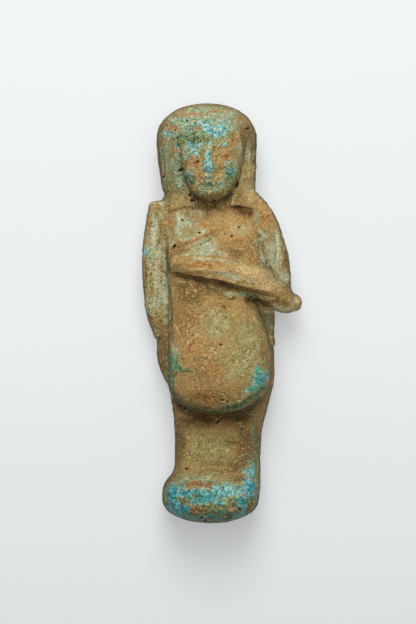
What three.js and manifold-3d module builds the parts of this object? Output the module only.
// An overseer's ushabti: a funerary servant figure of Egyptian faience, pressed and modelled by hand in
// one piece. It wears a bag wig and a long kilt whose front stands out as an apron. Its right arm hangs
// at its side, and its left forearm crosses the waist, from an elbow that juts out to a fist.
//
// Frame: millimetres. The figure lies on its flat back, so +Z is up and out of its chest, +Y runs to the
// crown of its head, and +X is to the viewer's right, its own left. The origin is under its middle.

import * as THREE from 'three';
import { mergeVertices } from 'three/addons/utils/BufferGeometryUtils.js';
import Module from 'manifold-3d';

const wasm = await Module();
wasm.setup();

// ---- Driving dimensions ----
const LENGTH = 120; // sole to crown
const WIDTH = 46; // outside of the right arm to the tip of the left elbow
const THICKNESS = 28; // flat back to the swell of the apron

// Every form is laid out in percent of those three: up the length from the sole, across the width from
// the right arm, and out through the thickness from the back. Below 0 it reaches under the flat back.
const up = (percent) => (percent / 100 - 0.5) * LENGTH;
const across = (percent) => (percent / 100 - 0.5) * WIDTH;
const out = (percent) => (percent / 100) * THICKNESS;

// ---- Modelling ----

// The size of a form at one level: where its left and right edges, its back and its front lie.
const station = (level, left, right, back, front) => ({
  y: up(level),
  size: [across(left), across(right), out(back), out(front)],
});

// A point of a rounded square of half size 1. A higher power is squarer, and 2 is a circle.
function roundedSquare(angle, power) {
  const bend = (value) => Math.sign(value) * Math.abs(value) ** (2 / power);
  return [bend(Math.cos(angle)), bend(Math.sin(angle))];
}

// A lump of paste: a capsule pressed to the sizes at its stations, from the foot up.
//   dome: how far its two round ends go on past the first and last station
//   domePower: how square those ends are, and domeDepth: how soon their front falls away
//   widest: where between back and front it is widest
//   back, left, right: how square it is behind, and at the left and right of its front
function lump(stations, options = {}) {
  const { dome = [2, 2], domePower = 2, domeDepth = [1, 1], widest = 0.5 } = options;
  const { back = 2, left = 2, right = 2, around = 24, rings = 14, capRings = 5 } = options;
  const levels = stations.map((s) => s.y);
  const sizes = new THREE.CubicInterpolant(levels, stations.flatMap((s) => s.size), 4);
  const [foot, head] = [stations[0].y, stations[stations.length - 1].y];
  const capsule = new THREE.CapsuleGeometry(1, 2, capRings, around, rings);
  const points = capsule.getAttribute('position');
  for (let i = 0; i < points.count; i++) {
    const height = points.getY(i);
    const angle = Math.atan2(points.getZ(i), points.getX(i));
    const cap = THREE.MathUtils.clamp(Math.abs(height) - 1, 0, 1);
    const ring = (1 - cap ** domePower) ** (1 / domePower);
    const deep = ring ** domeDepth[height < 0 ? 0 : 1];
    const y = THREE.MathUtils.lerp(foot, head, THREE.MathUtils.clamp((height + 1) / 2, 0, 1));
    const [xLeft, xRight, zBack, zFront] = sizes.evaluate(y);
    const isFront = Math.sin(angle) >= 0;
    const front = Math.cos(angle) < 0 ? left : right;
    const [sideways, outwards] = roundedSquare(angle, isFront ? front : back);
    const zWidest = THREE.MathUtils.lerp(zBack, zFront, widest);
    points.setXYZ(
      i,
      (xLeft + xRight) / 2 + ((xRight - xLeft) / 2) * sideways * ring,
      y + cap * (height < 0 ? -dome[0] : dome[1]),
      zWidest + (isFront ? zFront - zWidest : zWidest - zBack) * outwards * deep,
    );
  }
  return capsule;
}

// A closed three.js geometry as a solid that can be joined and cut.
function solid(geometry) {
  const bare = geometry.clone();
  bare.deleteAttribute('normal');
  bare.deleteAttribute('uv');
  const merged = mergeVertices(bare, 1e-4);
  const corners = merged.index.array;
  const faces = [];
  for (let i = 0; i < corners.length; i += 3) {
    const [a, b, c] = corners.slice(i, i + 3);
    if (a !== b && b !== c && c !== a) faces.push(a, b, c);
  }
  return new wasm.Manifold(new wasm.Mesh({
    numProp: 3,
    vertProperties: merged.getAttribute('position').array,
    triVerts: new Uint32Array(faces),
  }));
}

const join = (...geometries) => geometries.map(solid).reduce((whole, part) => whole.add(part));

function geometryOf(shape) {
  const { vertProperties, triVerts } = shape.getMesh();
  return new THREE.BufferGeometry()
    .setAttribute('position', new THREE.BufferAttribute(new Float32Array(vertProperties), 3))
    .setIndex(new THREE.BufferAttribute(new Uint32Array(triVerts), 1));
}

// ---- The body ----

// Legs, hips and back in one slab, narrow at the calves and broad at the hips.
const trunk = lump([
  station(10, 20.5, 73.8, -2, 56),
  station(16, 20.4, 74.3, -2, 53),
  station(21, 20.3, 75.0, -2, 54),
  station(26, 19.4, 78.0, -2, 56),
  station(30, 18.1, 80.9, -2, 57),
  station(33, 15.7, 82.7, -2, 56),
  station(36, 11.5, 83.2, -2, 52),
  station(39, 9.3, 83.2, -2, 50),
  station(44, 9.0, 83.0, -2, 49),
  station(52, 9.6, 83.6, -2, 50),
  station(62, 10.8, 81, -2, 50),
  station(73, 12, 77, -2, 50),
  station(80, 15, 69, -2, 50),
], { dome: [3, 3], widest: 0.42, back: 3.2, left: 3, right: 2.6, around: 30, rings: 25 });

// The chest runs down to the waist, and swells towards the arm that lies on it.
const chest = lump([
  station(50, 17.4, 76, 30, 46),
  station(54, 16.6, 79, 30, 58),
  station(58, 15.8, 81, 30, 71),
  station(61, 15.6, 80, 30, 76),
  station(65, 16.4, 77, 30, 73),
  station(70, 17.0, 74.5, 30, 68),
  station(76, 17.5, 70, 30, 62),
], { dome: [3, 3], widest: 0.2, left: 3.4, right: 2.1, around: 28, rings: 14 });

// The right arm hangs straight, and ends in a worn hand at the hip.
const rightArm = lump([
  station(45.0, 6.8, 18.5, 6, 42),
  station(48.0, 3.8, 18.5, 5, 46),
  station(51.5, 1.8, 18.5, 5, 48),
  station(56.0, 0.6, 18.5, 5, 49),
  station(62.0, 0.0, 18.5, 5, 49),
  station(67.0, 0.5, 18.5, 5, 49),
  station(72.0, 2.6, 18.5, 6, 48),
  station(75.8, 4.3, 18.5, 8, 46),
], { dome: [1.6, 1.4], domePower: 3.4, back: 2.6, left: 3.4, right: 3, around: 20, rings: 13, capRings: 4 });

// The left upper arm slopes down from the shoulder to the elbow.
const leftArm = lump([
  station(54, 72, 93.4, 8, 47),
  station(58, 72, 93.3, 6, 49),
  station(63, 71, 92.2, 5, 50),
  station(68, 68, 88.8, 5, 51),
  station(72.5, 64, 84.6, 6, 53),
  station(76, 58, 78.8, 8, 56),
  station(78.4, 54, 72.6, 12, 58),
], { dome: [2.5, 1.2], back: 2.6, left: 2.4, right: 3, around: 20, rings: 13, capRings: 4 });

// ---- The folded arm ----

// A form that lies across the body is modelled upright and turned. One level of it gives its lower and
// upper edges instead of its left and right ones.
const lyingStation = (place, lower, upper, back, front) => ({
  y: -across(place),
  size: [up(lower), up(upper), out(back), out(front)],
});

// The forearm: the point of the elbow, the broad middle that overhangs the waist, and the narrow fist.
// It is a wedge: a long slope from the chest up to a crest, and a steeper one down to its lower edge.
const forearm = lump([
  lyingStation(95.2, 50.3, 54.6, 22, 50),
  lyingStation(91, 49.8, 57.4, 20, 57),
  lyingStation(85, 50.2, 59.0, 21, 65),
  lyingStation(78, 51.6, 60.8, 27, 73),
  lyingStation(70, 53.6, 62.4, 32, 80),
  lyingStation(60, 54.9, 63.8, 36, 84),
  lyingStation(49, 56.2, 64.5, 36, 86),
  lyingStation(38, 57.5, 64.7, 36, 86),
  lyingStation(28, 58.7, 64.7, 36, 84),
  lyingStation(19, 59.7, 64.4, 36, 80),
], {
  dome: [2.2, 1.6],
  domePower: 2.2,
  domeDepth: [1, 0.6],
  left: 2.0,
  right: 1.7,
  around: 26,
  rings: 20,
})
  .rotateZ(Math.PI / 2);

// ---- The kilt ----

// The front of the kilt swells out like a second belly, and overhangs the legs.
const apron = lump([
  station(34.4, 16.8, 80.6, 34, 99),
  station(37, 16.4, 81.4, 34, 100),
  station(41, 16.3, 81.0, 34, 96.5),
  station(46, 16.6, 78.0, 34, 88.5),
  station(51, 16.8, 73.0, 34, 79.5),
  station(55, 16.8, 68, 34, 74),
  station(59, 16.8, 64, 34, 70),
  station(62, 17.0, 62, 34, 68),
], {
  dome: [9.6, 3],
  domePower: 2.2,
  domeDepth: [0.55, 1],
  widest: 0.3,
  left: 2.8,
  right: 2.3,
  around: 34,
  rings: 16,
  capRings: 8,
});

// A knob of paste left on the left hip.
const hipKnob = new THREE.SphereGeometry(1.9, 12, 8)
  .scale(0.9, 1.1, 1.2)
  .translate(across(79.9), up(43.2), out(38));

// ---- The feet ----
const feet = lump([
  station(5.5, 12.5, 73.2, -2, 85),
  station(8.5, 13.2, 74.0, -2, 81),
  station(12, 19.4, 74.3, -2, 60),
  station(15, 20.6, 74.3, -2, 50),
], {
  dome: [6.6, 2],
  domePower: 2.02,
  domeDepth: [0.8, 1],
  widest: 0.45,
  back: 3,
  left: 2.6,
  right: 2.6,
  around: 30,
  rings: 8,
  capRings: 7,
});

// ---- The head ----

// A round bag wig, whose sides come down in front of the shoulders as lappets.
const wig = lump([
  station(75.4, 17.0, 69.6, 3, 70),
  station(79, 13.2, 70.8, 1, 75),
  station(84, 10.9, 71.3, -1, 80),
  station(88, 9.4, 71.6, -2, 84),
  station(91.2, 9.1, 71.8, -2, 86),
], {
  dome: [0.6, 10.6],
  domePower: 2.22,
  widest: 0.46,
  back: 2.4,
  left: 2.05,
  right: 2.05,
  around: 34,
  rings: 10,
  capRings: 8,
});

// The wig frames the face, and opens over the throat between its lappets.
const faceOpening = lump([
  station(72, 31, 56, 58, 110),
  station(77, 29, 58, 58, 110),
  station(82, 23.4, 63.4, 66, 110),
  station(87, 22.6, 64.2, 73, 110),
  station(90, 23.6, 63.4, 79, 110),
], { dome: [1, 3], widest: 0.5, back: 3, around: 24, rings: 10, capRings: 4 });

// The face is an egg, broad at the cheeks.
const face = lump([
  station(86, 24.4, 62.4, 20, 92),
  station(88, 24.0, 62.8, 20, 92.5),
  station(90, 24.2, 62.6, 20, 91),
], { dome: [12, 6.6], domeDepth: [0.5, 0.9], widest: 0.72, around: 28, rings: 4, capRings: 9 });

const head = join(wig).subtract(solid(faceOpening)).add(solid(face));
const body = join(trunk, chest, rightArm, leftArm, forearm, apron, hipKnob, feet);

// The back lay on the bench while the paste dried, and is flat.
const bench = new THREE.BoxGeometry(2 * WIDTH, 2 * LENGTH, THICKNESS).translate(0, 0, -THICKNESS / 2);
const figurine = new THREE.Mesh(
  geometryOf(body.add(head).subtract(solid(bench))),
  new THREE.MeshStandardMaterial({ color: 0xa98a5c, roughness: 0.6, metalness: 0 }),
);
figurine.name = 'figurine';

const ushabti = new THREE.Group();
ushabti.add(figurine);
export default ushabti;
